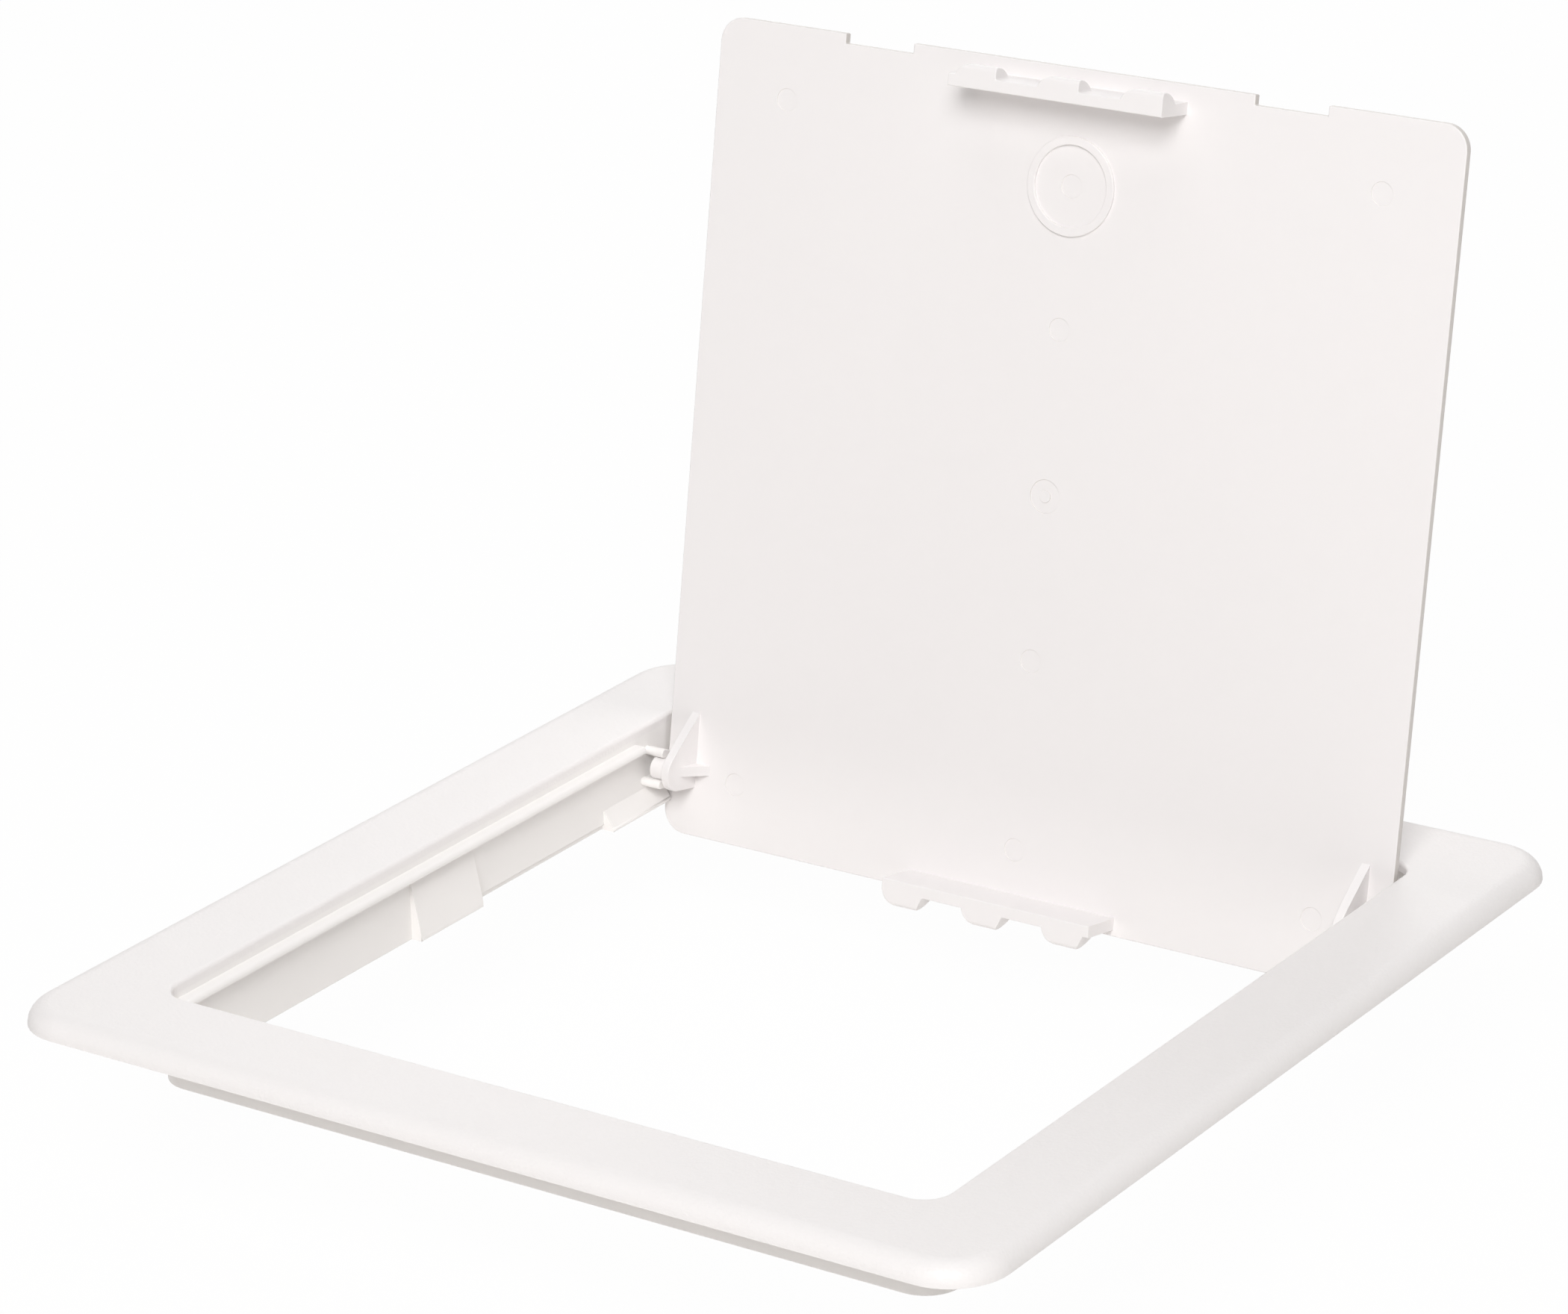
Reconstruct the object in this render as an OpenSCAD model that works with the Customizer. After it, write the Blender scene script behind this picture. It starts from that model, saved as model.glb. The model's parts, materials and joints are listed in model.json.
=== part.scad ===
// Ceiling access panel: a moulded frame with a snap-in hinged door, shown open.
// Millimetres. The origin is the centre of the opening, in the plane where the flange
// meets the ceiling. +Z points out of the show face, +Y to the hinge side.

/* [Flange] */
// Width of the flange, from the opening to its outer edge
flange_w = 25; // [18:0.5:40]
// Height of the flange above the ceiling
flange_h = 4.7; // [4.2:0.1:7]
// Thickness of the flange's moulded skin
flange_skin = 2.4; // [1.6:0.1:3]
// Radius of the flange's outer corners, seen from the front
flange_corner_r = 14; // [10:0.5:24]
// Radius that breaks the flange's inner edge
flange_edge_r = 1; // [0.4:0.1:1.4]

/* [Door] */
// Width and height of the door panel
door_size = 202; // [190:0.5:212]
// Thickness of the door panel
door_t = 2.4; // [1.8:0.1:3]
// Radius of the door's corners
door_corner_r = 6; // [3:0.5:10]
// Gap between the closed door and the flange, on each side
door_gap = 1; // [0.5:0.05:1.2]
// How far the door's seat lies below the flange's face
seat_depth = 3.7; // [3:0.1:4.5]
// Play between the closed door and its seat
seat_gap = 0.2; // [0.1:0.05:0.4]
// How far the hinge stands open
open_angle = 100.5; // [90:0.5:104]

/* [Pry notches] */
// Width of each notch in the free edge
notch_w = 19; // [10:0.5:26]
// Depth of each notch
notch_d = 2.4; // [1:0.1:3.5]
// Distance of each notch from the door's centre line
notch_x = 55.8; // [46:0.2:70]

/* [Collar] */
// Thickness of the collar's wall
collar_wall = 2.2; // [1.6:0.1:3]
// How far the collar reaches below the ceiling's face
collar_depth = 16.6; // [15:0.1:24]
// Room between the swinging hinge edge and the back wall
swing_gap = 0.4; // [0.3:0.05:1]
// Height of the thin step along the foot of the side walls
foot_step_h = 1.4; // [0.8:0.1:2]
// Depth of that step
foot_step_d = 0.7; // [0.3:0.1:1]

/* [Door ledge] */
// Width of the ledge
ledge_w = 3.4; // [2:0.1:4.2]
// Thickness of the ledge
ledge_t = 1.4; // [1:0.1:2]
// Radius that breaks the ledge's inner edge
ledge_edge_r = 1; // [0.4:0.1:1]

/* [Hinge] */
// Distance from the hinge edge of the door to the pivot
pivot_inset = 17.2; // [15:0.1:20]
// Distance from the door's inner face to the pivot
pivot_drop = 7.25; // [6.5:0.05:8.5]
// Radius of the stub pins
pin_r = 2.8; // [2:0.1:3.2]
// Radial play of a pin in its socket
pin_fit = 0.05; // [0.02:0.01:0.1]
// Gap between the end of a pin and the collar's wall
pin_end_gap = 2.7; // [0.5:0.1:3.5]
// Wall of the C-shaped socket
socket_wall = 2; // [1.4:0.1:2.4]
// Angle of the socket's mouth
socket_mouth = 150; // [100:1:160]
// Direction of the mouth, up from the horizontal
socket_tilt = 15; // [0:1:30]
// Radius of the round lips at the mouth
lip_r = 1.1; // [0.8:0.05:1.2]
// How far the lips stand back from the socket's bore
lip_set = 0.1; // [0.05:0.05:0.2]
// Gap between a socket and the hinge arm beside it
socket_gap = 1.9; // [1:0.1:2.6]
// Thickness of the hinge arms
arm_t = 2.2; // [1.6:0.1:3]
// Distance from the door's side edge to a hinge arm
arm_inset = 6.3; // [5.5:0.05:8]
// Radius of the arm's round end
arm_end_r = 4.8; // [4.2:0.1:6]
// Where the arm's lower root starts, from the hinge edge
arm_foot = 12.3; // [10:0.1:13]
// Where the arm runs out on the door, from the hinge edge
arm_top = 31; // [27:0.5:38]
// Thickness of the cross rib on the arm
rib_t = 2.4; // [1.6:0.1:3]
// Height of the cross rib above the door
rib_h = 7; // [4:0.1:8]
// Length of the cross rib along the door
rib_len = 4; // [2:0.1:6]

/* [Latch bars] */
// Length of the bars
bar_len = 57.8; // [54:0.2:62]
// Thickness of the bars
bar_t = 2.9; // [2:0.1:4]
// How far the bars stand off the door
bar_reach = 11.7; // [10:0.1:13]
// Distance from the free edge to the outer side of its bar
free_bar_inset = 4; // [3.6:0.1:5]
// Distance from the hinge edge to the outer side of its bar
hinge_bar_inset = 1.6; // [1.2:0.1:3]
// Hooks on each bar
hook_count = 3; // [2:1:3]
// Distance from hook to hook
hook_pitch = 22.4; // [18:0.1:23]
// Width of a hook
hook_w = 11.5; // [8:0.1:13]
// How far the free-end hooks stand out of their bar
free_hook_reach = 2.7; // [1.8:0.1:3]
// How far the hinge-end hooks stand out of theirs
hinge_hook_reach = 3.5; // [1.8:0.1:3.6]
// Length of a hook along its bar's height
hook_depth = 6; // [4:0.1:7]
// Radius of a hook's round end
hook_end_r = 4.4; // [2:0.1:5]
// Slant of the hinge-end hooks' square ends
hook_draft = 1.6; // [0:0.1:2]
// Radius of a hook's tip
hook_tip_r = 1.1; // [0.5:0.1:1.4]
// How far a hook catches behind the keeper
keeper_bite = 1; // [0.5:0.1:1.4]
// Play between the closed hooks and the keeper
keeper_gap = 0.4; // [0.3:0.05:0.8]
// How far the keeper is longer than the bar, at each end
keeper_over = 2; // [0:0.5:6]

/* [Wall pads] */
// Length of the wedge pads on the side walls
pad_len = 24; // [12:0.5:34]
// Thickness of a pad at its foot
pad_t = 3; // [2:0.1:3.4]
// Gap between the outer pads' tops and the sockets
pad_gap = 0.65; // [0.3:0.05:1.5]
// Height of the flat at the foot of a pad
pad_flat = 0.8; // [0.4:0.1:1.4]
// Gap between the open door and the stop pads
stop_gap = 0.3; // [0.2:0.05:0.6]

/* [Moulded marks] */
// Outer diameter of the ring that marks the place for a lock
ring_d = 23.4; // [16:0.1:30]
// Width of the ring
ring_w = 2; // [1:0.1:3]
// Height of the ring
ring_h = 0.8; // [0.4:0.1:1.5]
// Distance from the free edge to the ring's centre
ring_inset = 27.5; // [24:0.5:36]
// Diameter of the ejector marks
mark_d = 5.5; // [3:0.1:8]
// Depth of the ejector marks
mark_depth = 0.2; // [0.1:0.05:0.4]
// Distance from the door's side edges to the outer marks
mark_side = 20.2; // [16:0.2:26]
// Distance from the hinge edge to the lower marks
mark_low = 15.2; // [12:0.2:20]
// Distance from the free edge to the upper marks
mark_high = 17.9; // [14:0.2:24]
// Distance from the door's centre to the inner marks
mark_mid = 39.7; // [30:0.2:46]
// Diameter of the gate mark at the door's centre
gate_d = 8; // [5:0.1:12]
// Depth of the gate mark
gate_depth = 0.3; // [0.1:0.05:0.5]
// Diameter of the nub left by the gate
gate_nub_d = 3; // [1.5:0.1:4]

/* [Hidden] */
$fn = 96;
// Reach of a cut past the face it cuts
over = 1;
// Lap of a flat skin over the edges that are carried round it
lap = 1;

// The opening fits round the door
door_half = door_size / 2;
opening_half = door_half + door_gap;
opening_r = door_corner_r + door_gap / 2;

// Heights
skin_z = flange_h - flange_skin;
seat_z = flange_h - seat_depth;
door_z = seat_z + seat_gap;

// The pivot's line, and what swings about it
axis_y = door_half - pivot_inset;
axis_z = door_z - pivot_drop;
socket_r = pin_r + pin_fit + socket_wall;
hinge_hook_over = hinge_hook_reach - hinge_bar_inset;
edge_sweep_r = norm([pivot_inset, pivot_drop + door_t]);
hook_sweep_r = norm([pivot_inset + hinge_hook_over,
                     max(bar_reach - pivot_drop, pivot_drop - bar_reach + hook_depth)]);
back_wall_y = axis_y + max(edge_sweep_r, hook_sweep_r) + swing_gap;

// Across the hinge: arm, pin and socket share these places
arm_out_x = door_half - arm_inset;
socket_in_x = arm_out_x + socket_gap;
pin_end_x = opening_half - pin_end_gap;

// A hook's ramp is an arc from its tip's round to the bar
ramp_run = hook_depth - hook_tip_r;
function ramp_r(reach) = (pow(ramp_run, 2) + pow(reach, 2)) / (2 * reach);

// Where the free-end hooks close, and the keeper that holds them
free_bar_y = door_half - free_bar_inset;
keeper_y = free_bar_y + free_hook_reach - keeper_bite;
catch_r = ramp_r(free_hook_reach);
catch_run = hook_tip_r + sqrt(pow(catch_r, 2) - pow(catch_r - keeper_bite, 2));
keeper_z = door_z - bar_reach + catch_run + keeper_gap;

// The place of the open door's inner face at a given height
function open_face_y(z) =
    axis_y + (pivot_drop - (z - axis_z) * cos(open_angle)) / sin(open_angle);

// The wedge pads: the outer ones stay under the sockets and end where the open door stops
centre_pad_top_z = seat_z - ledge_t;
stop_pad_top_z = axis_z - socket_r - pad_gap;
pad_end_y = open_face_y(-collar_depth) - stop_gap;
pad_start_y = pad_end_y - pad_len;

// The point where a line from p touches a circle
function tangent(p, centre, r, side) =
    let (v = p - centre, a = atan2(v[1], v[0]) + side * acos(r / norm(v)))
    centre + r * [cos(a), sin(a)];

module rounded_rect(half_x, half_y, r) {
    square([2 * half_x, 2 * (half_y - r)], center = true);
    square([2 * (half_x - r), 2 * half_y], center = true);
    for (sx = [-1, 1], sy = [-1, 1])
        translate([sx * (half_x - r), sy * (half_y - r)]) circle(r);
}

// Carries a section round a rectangle with round corners: x is outward, y is up
module around_rect(half_x, half_y, r) {
    for (turn = [0:3]) {
        out = turn % 2 == 0 ? half_x : half_y;
        along = turn % 2 == 0 ? half_y : half_x;
        rotate([0, 0, 90 * turn]) {
            translate([out, along - r, 0])
                rotate([90, 0, 0])
                    linear_extrude(2 * (along - r)) children();
            translate([out - r, along - r, 0])
                rotate_extrude(angle = 90)
                    translate([r, 0]) children();
        }
    }
}

// Extrudes a section drawn in y and z along x
module along_x(length) {
    rotate([90, 0, 90]) linear_extrude(length) children();
}

// Extrudes a section drawn in x and z along y
module along_y(from_y, to_y) {
    translate([0, to_y, 0])
        rotate([90, 0, 0])
            linear_extrude(to_y - from_y) children();
}

module left() {
    mirror([1, 0, 0]) children();
}

// Swings what belongs to the door from closed to open
module swing_open() {
    translate([0, axis_y, axis_z])
        rotate([-open_angle, 0, 0])
            translate([0, -axis_y, -axis_z]) children();
}

module rolled_rim_section(rim_w) {
    difference() {
        union() {
            translate([-rim_w, 0]) square([rim_w - flange_h, flange_h]);
            intersection() {
                translate([-flange_h, 0]) circle(flange_h);
                translate([-flange_h, 0]) square(flange_h);
            }
        }
        translate([-rim_w, 0]) square([rim_w - flange_h, skin_z]);
        translate([-flange_h, 0]) circle(skin_z);
    }
}

module inner_edge_section(edge_w) {
    translate([0, skin_z]) square([edge_w, flange_skin - flange_edge_r]);
    translate([flange_edge_r, skin_z]) square([edge_w - flange_edge_r, flange_skin]);
    translate([flange_edge_r, flange_h - flange_edge_r]) circle(flange_edge_r);
}

// The flange: a flat skin, a rolled outer rim and a broken inner edge
module face_flange() {
    flange_half = opening_half + flange_w;
    rim_w = flange_h + lap;
    edge_w = flange_edge_r + lap;
    color("whitesmoke") {
        translate([0, 0, skin_z])
            linear_extrude(flange_skin)
                difference() {
                    rounded_rect(flange_half - rim_w, flange_half - rim_w, flange_corner_r - rim_w);
                    rounded_rect(opening_half + edge_w, opening_half + edge_w, opening_r + edge_w);
                }
        around_rect(flange_half, flange_half, flange_corner_r) rolled_rim_section(rim_w + lap);
        around_rect(opening_half, opening_half, opening_r) inner_edge_section(edge_w + lap);
    }
}

// The collar: set back behind the hinge, where the door's edge swings past
module collar() {
    half_y = (opening_half + back_wall_y) / 2;
    step_start = pad_len / 2;
    color("whitesmoke")
        difference() {
            translate([0, back_wall_y - half_y, -collar_depth])
                linear_extrude(collar_depth + skin_z)
                    difference() {
                        rounded_rect(opening_half + collar_wall, half_y + collar_wall, opening_r + collar_wall);
                        rounded_rect(opening_half, half_y, opening_r);
                    }
            for (side = [0, 1])
                mirror([side, 0, 0])
                    translate([opening_half - over, step_start, -collar_depth - over])
                        cube([over + foot_step_d, pad_start_y - step_start, over + foot_step_h]);
        }
}

module ledge_edge_section(edge_w) {
    square([edge_w, ledge_t - ledge_edge_r]);
    translate([ledge_edge_r, 0]) square([edge_w - ledge_edge_r, ledge_t]);
    translate([ledge_edge_r, ledge_t - ledge_edge_r])
        intersection() {
            circle(ledge_edge_r);
            translate([-ledge_edge_r, 0]) square(ledge_edge_r);
        }
}

// The ledge: a flat lip with a broken inner edge, left out from the sockets on
module door_ledge() {
    ledge_half = opening_half - ledge_w;
    ledge_r = opening_r - ledge_w;
    flat_half = ledge_half + ledge_edge_r;
    color("whitesmoke")
        translate([0, 0, seat_z - ledge_t])
            difference() {
                union() {
                    linear_extrude(ledge_t)
                        difference() {
                            rounded_rect(opening_half, opening_half, opening_r);
                            rounded_rect(flat_half, flat_half, ledge_r + ledge_edge_r);
                        }
                    around_rect(ledge_half, ledge_half, ledge_r) ledge_edge_section(ledge_edge_r + lap);
                }
                translate([-opening_half - over, axis_y - socket_r, -over])
                    cube([2 * (opening_half + over), opening_half, ledge_t + 2 * over]);
            }
}

// The keeper: a lead-in slope above, a square catch below
module latch_keeper() {
    length = bar_len + 2 * keeper_over;
    keeper_t = opening_half - keeper_y;
    top_z = seat_z - ledge_t;
    color("whitesmoke")
        translate([-length / 2, -opening_half, 0])
            along_x(length)
                polygon([[0, keeper_z], [keeper_t, keeper_z],
                         [keeper_t, keeper_z + pad_flat], [0, top_z]]);
}

// A snap-in socket: a C-shaped clip that stands on the side wall, open to the front, with round lips
module pivot_socket() {
    bore_r = pin_r + pin_fit;
    middle = 180 - socket_tilt;
    half_mouth = socket_mouth / 2;
    mouth_far = socket_r / cos(half_mouth) + over;
    color("whitesmoke")
        translate([socket_in_x, axis_y, axis_z])
            along_x(opening_half - socket_in_x) {
                difference() {
                    circle(socket_r);
                    circle(bore_r);
                    rotate([0, 0, middle])
                        polygon([[0, 0],
                                 mouth_far * [cos(half_mouth), sin(half_mouth)],
                                 mouth_far * [cos(half_mouth), -sin(half_mouth)]]);
                }
                for (side = [-1, 1])
                    rotate([0, 0, middle + side * half_mouth])
                        translate([bore_r + lip_set + lip_r, 0]) circle(lip_r);
            }
}

// A wedge on the inside of a side wall
module wall_pad(from_y, to_y, top_z) {
    color("whitesmoke")
        translate([opening_half, 0, 0])
            along_y(from_y, to_y)
                polygon([[0, -collar_depth], [-pad_t, -collar_depth],
                         [-pad_t, pad_flat - collar_depth], [0, top_z]]);
}

module stop_pad() {
    wall_pad(pad_start_y, pad_end_y, stop_pad_top_z);
}

module centre_pad() {
    wall_pad(-pad_len / 2, pad_len / 2, centre_pad_top_z);
}

// The shallow round marks that the mould leaves on the inner face
module moulded_marks() {
    mark_x = door_half - mark_side;
    low_y = door_half - mark_low;
    high_y = mark_high - door_half;
    places = [[-mark_x, low_y], [mark_x, low_y], [-mark_x, high_y], [mark_x, high_y],
              [0, low_y], [0, mark_mid], [0, -mark_mid], [0, ring_inset - door_half]];
    for (place = places)
        translate([place[0], place[1], -over]) cylinder(d = mark_d, h = over + mark_depth);
    difference() {
        translate([0, 0, -over]) cylinder(d = gate_d, h = over + gate_depth);
        cylinder(d = gate_nub_d, h = gate_depth + over);
    }
}

module door_panel() {
    color("white")
        swing_open()
            translate([0, 0, door_z])
                difference() {
                    linear_extrude(door_t)
                        difference() {
                            rounded_rect(door_half, door_half, door_corner_r);
                            for (side = [-1, 1])
                                translate([side * notch_x - notch_w / 2, -door_half - over])
                                    square([notch_w, over + notch_d]);
                        }
                    moulded_marks();
                }
}

// A hook's section: x is outward from the bar, y runs from the bar's tip to the door
module hook_section(reach) {
    r = ramp_r(reach);
    square([reach - hook_tip_r, hook_tip_r]);
    translate([reach - hook_tip_r, hook_tip_r]) {
        intersection() {
            circle(hook_tip_r);
            translate([-hook_tip_r, -hook_tip_r]) square([2 * hook_tip_r, hook_tip_r]);
        }
    }
    intersection() {
        translate([0, hook_tip_r]) square([reach, ramp_run]);
        translate([reach - r, hook_tip_r]) circle(r);
    }
}

// A hook's outline along the bar: one end round, the other square or slanted
module hook_outline(reach, draft) {
    polygon([[hook_end_r, 0], [hook_w, 0], [hook_w - draft, reach], [hook_end_r, reach]]);
    intersection() {
        translate([hook_end_r, reach - hook_end_r]) circle(hook_end_r);
        square([hook_end_r, reach]);
    }
}

// A bar with its hooks, flush with one end: the outer side lies on y = 0, the door on z = 0
module latch_bar(reach, draft, flush_end) {
    hooks_w = hook_w + hook_pitch * (hook_count - 1);
    first_x = flush_end * (bar_len - hooks_w) / 2 - hooks_w / 2;
    translate([-bar_len / 2, -bar_t, -bar_reach]) cube([bar_len, bar_t, bar_reach]);
    for (i = [0:hook_count - 1])
        translate([first_x + hook_pitch * i, 0, -bar_reach])
            intersection() {
                along_x(hook_w) hook_section(reach);
                linear_extrude(hook_depth) hook_outline(reach, draft);
            }
}

module free_end_latch_bar() {
    color("white")
        swing_open()
            translate([0, -free_bar_y, door_z])
                mirror([0, 1, 0]) latch_bar(free_hook_reach, 0, 1);
}

module hinge_end_latch_bar() {
    color("white")
        swing_open()
            translate([0, door_half - hinge_bar_inset, door_z])
                latch_bar(hinge_hook_reach, hook_draft, -1);
}

// A fin that runs from the door to a round end about the pivot, with a cross rib inboard
module hinge_arm() {
    pivot = [axis_y, -pivot_drop];
    foot = [door_half - arm_foot, 0];
    top = [door_half - arm_top, 0];
    color("white")
        swing_open()
            translate([arm_out_x - arm_t, 0, door_z]) {
                along_x(arm_t) {
                    polygon([foot, top, tangent(top, pivot, arm_end_r, 1), pivot,
                             tangent(foot, pivot, arm_end_r, -1)]);
                    translate(pivot) circle(arm_end_r);
                }
                along_y(axis_y - rib_t / 2, axis_y + rib_t / 2)
                    polygon([[0, 0], [-rib_len, 0], [0, -rib_h]]);
            }
}

module pivot_pin() {
    color("white")
        translate([arm_out_x, axis_y, axis_z])
            rotate([0, 90, 0])
                cylinder(r = pin_r, h = pin_end_x - arm_out_x);
}

module lock_locator_ring() {
    color("white")
        swing_open()
            translate([0, ring_inset - door_half, door_z - ring_h])
                difference() {
                    cylinder(d = ring_d, h = ring_h);
                    translate([0, 0, -over]) cylinder(d = ring_d - 2 * ring_w, h = ring_h + 2 * over);
                }
}

module right_pivot_socket() { pivot_socket(); }
module left_pivot_socket() { left() pivot_socket(); }
module right_stop_pad() { stop_pad(); }
module left_stop_pad() { left() stop_pad(); }
module right_centre_pad() { centre_pad(); }
module left_centre_pad() { left() centre_pad(); }
module right_hinge_arm() { hinge_arm(); }
module left_hinge_arm() { left() hinge_arm(); }
module right_pivot_pin() { pivot_pin(); }
module left_pivot_pin() { left() pivot_pin(); }

face_flange();
collar();
door_ledge();
latch_keeper();
left_pivot_socket();
right_pivot_socket();
left_stop_pad();
right_stop_pad();
left_centre_pad();
right_centre_pad();
door_panel();
free_end_latch_bar();
hinge_end_latch_bar();
left_hinge_arm();
right_hinge_arm();
left_pivot_pin();
right_pivot_pin();
lock_locator_ring();
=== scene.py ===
"""Finishes, soft edges, light and camera for the ceiling access panel."""
import json
import math

import bmesh
import bpy
from mathutils import Matrix, Vector
from mathutils.kdtree import KDTree


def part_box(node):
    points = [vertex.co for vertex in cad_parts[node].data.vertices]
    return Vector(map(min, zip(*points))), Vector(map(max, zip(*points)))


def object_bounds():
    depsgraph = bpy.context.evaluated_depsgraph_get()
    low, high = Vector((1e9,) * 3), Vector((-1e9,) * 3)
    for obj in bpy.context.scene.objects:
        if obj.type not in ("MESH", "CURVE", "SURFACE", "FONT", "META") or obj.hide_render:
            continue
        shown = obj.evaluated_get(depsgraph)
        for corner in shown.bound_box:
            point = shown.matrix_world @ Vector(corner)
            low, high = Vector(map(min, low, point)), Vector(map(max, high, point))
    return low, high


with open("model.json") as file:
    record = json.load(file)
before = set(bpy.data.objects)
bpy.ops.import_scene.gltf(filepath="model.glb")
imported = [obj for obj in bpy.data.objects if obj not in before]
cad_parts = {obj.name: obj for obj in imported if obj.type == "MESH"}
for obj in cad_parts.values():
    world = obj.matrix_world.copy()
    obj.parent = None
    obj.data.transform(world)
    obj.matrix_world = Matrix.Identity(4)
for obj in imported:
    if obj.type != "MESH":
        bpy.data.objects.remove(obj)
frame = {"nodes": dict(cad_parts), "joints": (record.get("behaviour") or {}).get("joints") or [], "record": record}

cad_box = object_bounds()
nodes = frame["nodes"]
hinge = frame["joints"][0]
bodies = frame["record"]["behaviour"]["bodies"]

# Lengths are in metres
MM = 0.001

# The photograph's camera: angles in degrees, focal length in pixels, sensor in millimetres
VIEW_BEARING = 34.77
VIEW_HEIGHT = 20.98
VIEW_ROLL = -1.66
VIEW_DISTANCE = 1.3466
VIEW_RIGHT = -0.0017
VIEW_UP = 0.0654
FOCAL_PIXELS = 7991
IMAGE_WIDTH = 2100
SENSOR_WIDTH = 36

# Light
AMBIENT = 0.37
AMBIENT_LEAN = (-0.2, 0.42, -0.59)
AMBIENT_TINT = (1, 0.985, 0.975, 1)
LAMP_AIM = Vector((0, 0, 50 * MM))
WHITE = (1, 1, 1, 1)
FLOOR_TINT = (0.95, 0.93, 0.905, 1)
FLOOR_DROP = 25 * MM
FLOOR_SIZE = 6
FLOOR_SHADOW = 0.03

# The two tints that each plastic drifts between, and the tint of the painted shade on the door panel's side faces
FLANGE_TINTS = (0.92, 0.893, 0.887, 1), (0.91, 0.883, 0.874, 1)
FRAME_TINTS = (0.935, 0.914, 0.9, 1), (0.925, 0.904, 0.887, 1)
DOOR_TINTS = (0.91, 0.882, 0.879, 1), (0.9, 0.872, 0.868, 1)
PAINTED_EDGE_SHADE_TINT = (0.73, 0.695, 0.665, 1)
CLOUD_WIDTH = 70 * MM

# Gloss of the plastics
FLANGE_ROUGHNESS = 0.5
FRAME_ROUGHNESS = 0.4
DOOR_ROUGHNESS = 0.42
ROUGHNESS_SPREAD = 0.08
SHEEN_WIDTH = 9 * MM
PLASTIC_IOR = 1.49

# Surface texture, with heights in millimetres
PEBBLE_WIDTH = 0.8 * MM
PEBBLE_BLUR = 0.6
GRIT_WIDTH = 0.5 * MM
PEBBLE_HEIGHT = 0.05
SHRINK_WIDTH = 14 * MM
SHRINK_HEIGHT = 0.02
POLISH_WIDTH = 0.6 * MM
POLISH_HEIGHT = 0.002

# How squarely a face looks along the door's thickness, from 0 to 1, where the pebble starts and where the painted
# shade on the panel's sides starts and is full
PEBBLE_START = 0.8
PAINTED_EDGE_SHADE_START = 0.8
PAINTED_EDGE_SHADE_FULL = 0.3

# Soft edges: radii, and the share of the panel's radius at its inner outline and its round marks
PANEL_EDGE = 0.8 * MM
FITTING_EDGE = 0.3 * MM
FINE_EDGE = 0.25 * MM
INNER_SHARE = 0.4
MARK_SHARE = 0.12
EDGE_STEPS = 3

# How far the panel's outline reaches in from its edges, and its inner outline in from its face
PANEL_BORDER = 7 * MM
INNER_RIM = 1 * MM

# Points within WELD are one, within SEAM they touch. Edges over SHARP are rounded, under FLAT merged
WELD = 0.001 * MM
SEAM = 0.01 * MM
SHARP = math.radians(35)
FLAT = math.radians(0.5)

# Out of the open door's inner face, along it to the free edge, and the faces that fittings sit on
open_angle = math.radians(-hinge["range_deg"][0])
door_out = Vector((0, -math.sin(open_angle), -math.cos(open_angle)))
door_up = Vector((0, -math.cos(open_angle), math.sin(open_angle)))
door_middle = sum(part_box("door_panel"), Vector()) / 2
door_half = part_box("door_panel")[1].x
door_face = min(v.co.dot(door_out) for v in nodes["lock_locator_ring"].data.vertices)
wall_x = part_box("left_centre_pad")[0].x


class Field:
    """A number that varies over a surface. Arithmetic on it adds Math nodes."""

    def __init__(self, finish, socket):
        self.finish = finish
        self.socket = socket

    def math(self, operation, first, second):
        return self.finish.node("Math", {"operation": operation}, {0: first, 1: second})

    def __add__(self, other):
        return self.math("ADD", self, other)

    __radd__ = __add__

    def __sub__(self, other):
        return self.math("SUBTRACT", self, other)

    def __rsub__(self, other):
        return self.math("SUBTRACT", other, self)

    def __mul__(self, other):
        return self.math("MULTIPLY", self, other)

    __rmul__ = __mul__


class Finish:
    """A node tree. Every node in it comes from node()."""

    def __init__(self, tree):
        self.tree = tree
        tree.nodes.clear()

    def node(self, kind, settings=None, sockets=None, output=0):
        made = self.tree.nodes.new("ShaderNode" + kind)
        for name, setting in (settings or {}).items():
            setattr(made, name, setting)
        for name, value in (sockets or {}).items():
            if isinstance(value, Field):
                self.tree.links.new(value.socket, made.inputs[name])
            else:
                made.inputs[name].default_value = value
        return Field(self, made.outputs[output]) if len(made.outputs) else None

    def noise(self, place, width, detail=2.0):
        """Smooth noise with features about width metres wide, from 0 to 1."""
        return self.node("TexNoise", {}, {"Vector": place, "Scale": 1 / width, "Detail": detail})

    def mix(self, share, first, second):
        """The first colour where share is 0, the second where it is 1."""
        return self.node("Mix", {"data_type": "RGBA"}, {0: share, 6: first, 7: second}, output=2)

    def dot(self, vector, direction):
        """How far a vector reaches along a direction."""
        return self.node("VectorMath", {"operation": "DOT_PRODUCT"}, {0: vector, 1: direction},
                         output="Value")

    def ramp(self, value, start, end):
        """0 at start, 1 at end, straight between them and level beyond."""
        slope = 1 / (end - start)
        return self.node("Math", {"operation": "MULTIPLY_ADD", "use_clamp": True},
                         {0: value, 1: slope, 2: -start * slope})

    def background_ray(self):
        """1 for the rays that show the background itself: camera, mirror and glass rays."""
        path = [self.node("LightPath", output=name)
                for name in ("Is Camera Ray", "Is Glossy Ray", "Is Transmission Ray")]
        return path[0] + path[1] + path[2]


def show_facing(finish):
    """1 where a door piece faces the show side, -1 where it faces the inner side."""
    return finish.dot(finish.node("TexCoord", output="Normal"), -door_out)


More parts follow.
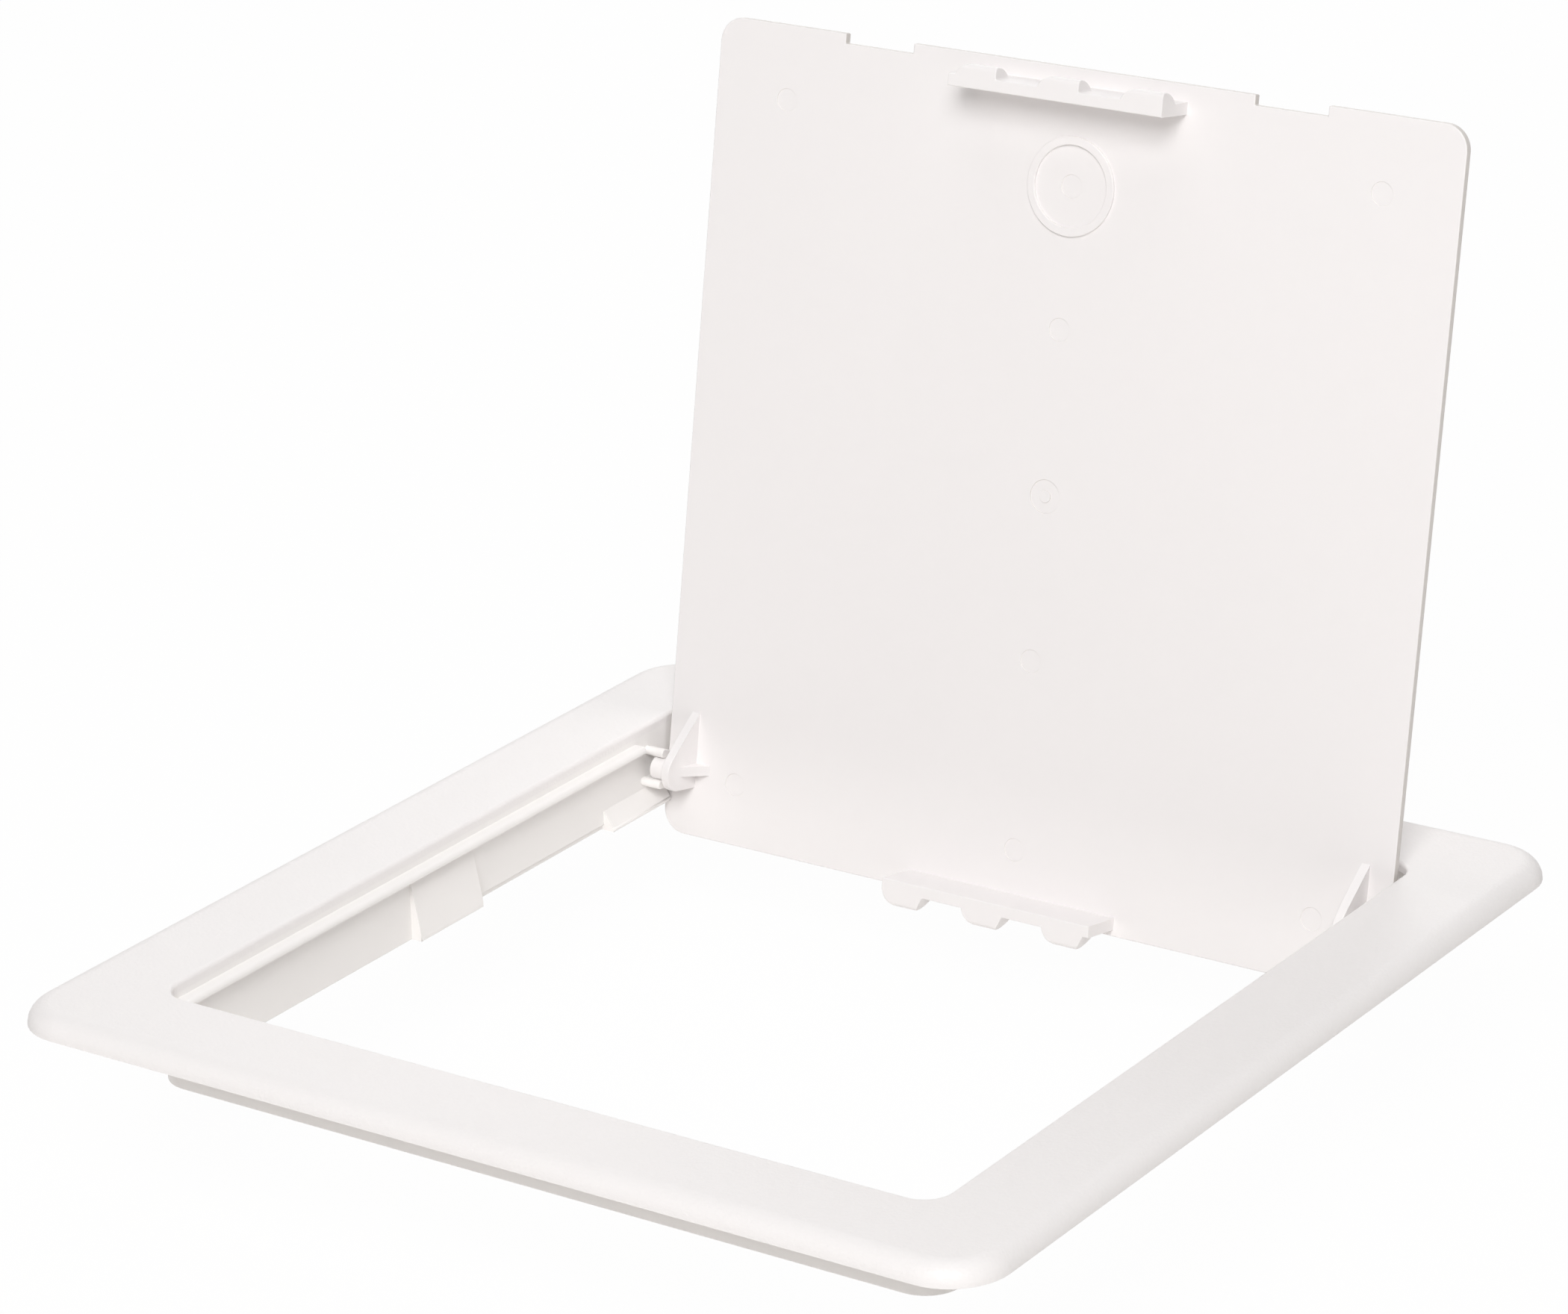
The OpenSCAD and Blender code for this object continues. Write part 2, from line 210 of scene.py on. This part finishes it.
def plastic(name, tints, roughness, grain, painted_edge_shade=None):
    """White moulded plastic.

    grain(finish, place) gives the height of its surface texture. The last argument is the tint of painted shade
    that darkens a panel's side faces.
    """
    material = bpy.data.materials.new(name)
    material.use_nodes = True
    finish = Finish(material.node_tree)
    place = finish.node("TexCoord", output="Object")
    colour = finish.mix(finish.noise(place, CLOUD_WIDTH, detail=3), *tints)
    # Painted shade: the panel's side faces, which turn away from its faces, are darkened toward a brown tint
    if painted_edge_shade:
        squareness = finish.node("Math", {"operation": "ABSOLUTE"}, {0: show_facing(finish)})
        colour = finish.mix(finish.ramp(squareness, PAINTED_EDGE_SHADE_START, PAINTED_EDGE_SHADE_FULL), colour, painted_edge_shade)
    sheen = finish.noise(place, SHEEN_WIDTH, detail=4)
    height = grain(finish, place)
    bump = finish.node("Bump", {}, {"Height": height, "Distance": MM, "Strength": 1})
    surface = finish.node("BsdfPrincipled", {}, {
        "Base Color": colour,
        "Roughness": roughness + ROUGHNESS_SPREAD * (sheen - 0.5),
        "IOR": PLASTIC_IOR,
        "Normal": bump,
    })
    finish.node("OutputMaterial", {}, {"Surface": surface})
    return material


def pebble(finish, place):
    """The fine pebble of the show side."""
    cells = finish.node("TexVoronoi", {"feature": "SMOOTH_F1"},
                        {"Vector": place, "Scale": 1 / PEBBLE_WIDTH, "Smoothness": PEBBLE_BLUR})
    return PEBBLE_HEIGHT * (finish.noise(place, GRIT_WIDTH) - cells)


def smooth(finish, place):
    """A polished mould's face, with the faint unevenness of shrinking plastic."""
    return (SHRINK_HEIGHT * finish.noise(place, SHRINK_WIDTH)
            + POLISH_HEIGHT * finish.noise(place, POLISH_WIDTH))


def door_grain(finish, place):
    """Pebble on the door's show side, and a polished face elsewhere."""
    show_side = finish.ramp(show_facing(finish), PEBBLE_START, 1)
    return show_side * pebble(finish, place) + smooth(finish, place)


def dress(names, material):
    for name in names:
        nodes[name].material_slots[0].material = material


def sharp_middles(mesh):
    """A search tree of the middles of a mesh's sharp edges."""
    welded = bmesh.new()
    welded.from_mesh(mesh)
    bmesh.ops.remove_doubles(welded, verts=welded.verts, dist=WELD)
    middles = [(edge.verts[0].co + edge.verts[1].co) / 2
               for edge in welded.edges if edge.calc_face_angle(0) > SHARP]
    welded.free()
    tree = KDTree(len(middles))
    for index, middle in enumerate(middles):
        tree.insert(middle, index)
    tree.balance()
    return tree


def mark_edges(mesh, share):
    """Gives each sharp edge its share of the rounding, and keeps one with none crisp."""
    tree = sharp_middles(mesh)
    mesh.attributes.new("bevel_weight_edge", "FLOAT", "EDGE")
    mesh.attributes.new("sharp_edge", "BOOLEAN", "EDGE")
    weights = mesh.attributes["bevel_weight_edge"].data
    crisp = mesh.attributes["sharp_edge"].data
    for edge in mesh.edges:
        ends = [mesh.vertices[i].co for i in edge.vertices]
        if tree.find((ends[0] + ends[1]) / 2)[2] < SEAM:
            part = min(share(end) for end in ends)
            weights[edge.index].value = part
            crisp[edge.index].value = part == 0


def soften(name, radius, share, faceted=False):
    """Rounds a node's sharp edges. share(point) is the part of the radius to use there.

    A faceted node, one with hardly a curve, is shaded face by face.
    """
    node = nodes[name]
    for spare in ("custom_normal", "sharp_edge", "sharp_face"):
        if spare in node.data.attributes:
            node.data.attributes.remove(node.data.attributes[spare])
    if faceted:
        node.data.shade_flat()
    mark_edges(node.data, share)
    weld = node.modifiers.new("weld", "WELD")
    weld.merge_threshold = WELD
    flats = node.modifiers.new("whole flats", "DECIMATE")
    flats.decimate_type = "DISSOLVE"
    flats.angle_limit = FLAT
    bevel = node.modifiers.new("soft edges", "BEVEL")
    bevel.limit_method = "WEIGHT"
    bevel.width = radius
    bevel.segments = EDGE_STEPS
    bevel.harden_normals = not faceted
    bevel.use_clamp_overlap = False


def on_door(point):
    """0 where a piece meets the door's inner face, else 1."""
    return float(point.dot(door_out) - door_face > SEAM)


def on_panel(point):
    """Full at the outline of the door's show side, less at its inner outline and round marks."""
    reach = max(abs(point.x), abs((point - door_middle).dot(door_up)))
    if reach < door_half - PANEL_BORDER:
        return MARK_SHARE
    return INNER_SHARE if point.dot(door_out) - door_face > -INNER_RIM else 1.0


def on_wall(point):
    """0 where a piece meets the collar's inside, at the sides or the front, else 1."""
    return float(abs(point.x) < -wall_x - SEAM and point.y > wall_x + SEAM)


def under_flange(point):
    """1 below the plane of the flange's back, else 0."""
    return float(point.z < 0)


def set_camera():
    bearing, height, roll = (math.radians(a) for a in (VIEW_BEARING, VIEW_HEIGHT, VIEW_ROLL))
    back = Vector((math.sin(bearing) * math.cos(height),
                   -math.cos(bearing) * math.cos(height),
                   math.sin(height)))
    right = Vector((math.cos(bearing), math.sin(bearing), 0))
    up = back.cross(right)
    eye = back * VIEW_DISTANCE + right * VIEW_RIGHT + up * VIEW_UP
    across = right * math.cos(roll) + up * math.sin(roll)
    upright = up * math.cos(roll) - right * math.sin(roll)
    turn = Matrix((across, upright, back)).transposed().to_4x4()
    lens = bpy.data.cameras.new("camera")
    lens.sensor_width = SENSOR_WIDTH
    lens.lens = FOCAL_PIXELS * SENSOR_WIDTH / IMAGE_WIDTH
    camera = bpy.data.objects.new("camera", lens)
    camera.matrix_world = Matrix.Translation(eye) @ turn
    bpy.context.scene.collection.objects.link(camera)
    bpy.context.scene.camera = camera


def soft_box(name, direction, distance, size, power):
    """A square lamp that shines on the object's middle from a direction."""
    lamp = bpy.data.lights.new(name, "AREA")
    lamp.size = size
    lamp.energy = power
    holder = bpy.data.objects.new(name, lamp)
    away = Vector(direction).normalized()
    holder.location = LAMP_AIM + away * distance
    holder.rotation_euler = away.to_track_quat("Z", "Y").to_euler()
    bpy.context.scene.collection.objects.link(holder)


def set_world():
    """White where the background shows, and a soft light that leans to one side elsewhere."""
    world = bpy.data.worlds.new("studio")
    world.use_nodes = True
    finish = Finish(world.node_tree)
    shown = finish.background_ray()
    lean = finish.dot(finish.node("TexCoord", output="Generated"), AMBIENT_LEAN)
    soft = AMBIENT * (1 + lean)
    strength = soft + (1 - soft) * shown
    colour = finish.mix(shown, AMBIENT_TINT, WHITE)
    surface = finish.node("Background", {}, {"Color": colour, "Strength": strength})
    finish.node("OutputWorld", {}, {"Surface": surface})
    bpy.context.scene.world = world


def floor_paper():
    """White paper that catches a faint shadow and is clear when seen from below."""
    material = bpy.data.materials.new("white floor")
    material.use_nodes = True
    finish = Finish(material.node_tree)
    paper = finish.node("BsdfDiffuse", {}, {"Color": FLOOR_TINT})
    white = finish.node("Emission", {}, {"Color": WHITE, "Strength": 1})
    shown = finish.background_ray() * (1 - FLOOR_SHADOW)
    top = finish.node("MixShader", {}, {0: shown, 1: paper, 2: white})
    clear = finish.node("BsdfTransparent")
    below = finish.node("NewGeometry", output="Backfacing")
    surface = finish.node("MixShader", {}, {0: below, 1: top, 2: clear})
    finish.node("OutputMaterial", {}, {"Surface": surface})
    return material


def set_floor():
    half = FLOOR_SIZE / 2
    level = cad_box[0].z - FLOOR_DROP
    corners = [(x * half, y * half, level) for x, y in ((-1, -1), (1, -1), (1, 1), (-1, 1))]
    mesh = bpy.data.meshes.new("floor")
    mesh.from_pydata(corners, [], [(0, 1, 2, 3)])
    mesh.materials.append(floor_paper())
    floor = bpy.data.objects.new("floor", mesh)
    bpy.context.scene.collection.objects.link(floor)


dress(bodies["frame"],
      plastic("smooth frame plastic", FRAME_TINTS, FRAME_ROUGHNESS, smooth))
dress(["face_flange"],
      plastic("grained flange plastic", FLANGE_TINTS, FLANGE_ROUGHNESS, pebble))
dress(bodies["door"],
      plastic("satin door plastic", DOOR_TINTS, DOOR_ROUGHNESS, smooth))
dress(["door_panel"],
      plastic("satin door panel plastic", DOOR_TINTS, DOOR_ROUGHNESS, door_grain, PAINTED_EDGE_SHADE_TINT))

soften("door_panel", PANEL_EDGE, on_panel)
soften("lock_locator_ring", FINE_EDGE, on_door)
for end in ("free", "hinge"):
    soften(end + "_end_latch_bar", FINE_EDGE, on_door, faceted=True)
for side in ("left", "right"):
    soften(side + "_hinge_arm", FITTING_EDGE, on_door)
    soften(side + "_stop_pad", FITTING_EDGE, on_wall)
    soften(side + "_centre_pad", FITTING_EDGE, on_wall)
    soften(side + "_pivot_socket", FINE_EDGE, on_wall)
soften("latch_keeper", FITTING_EDGE, on_wall)
soften("collar", FITTING_EDGE, under_flange)

set_camera()
set_world()
set_floor()
soft_box("key", direction=(0.42, -0.79, 0.74), distance=3, size=1.4, power=63)
soft_box("top", direction=(0, 0, 1), distance=1.6, size=1.0, power=4.8)
soft_box("back", direction=(-0.6, 1, 0.7), distance=1.6, size=1.0, power=4.4)
bpy.context.scene.view_settings.view_transform = "Standard"
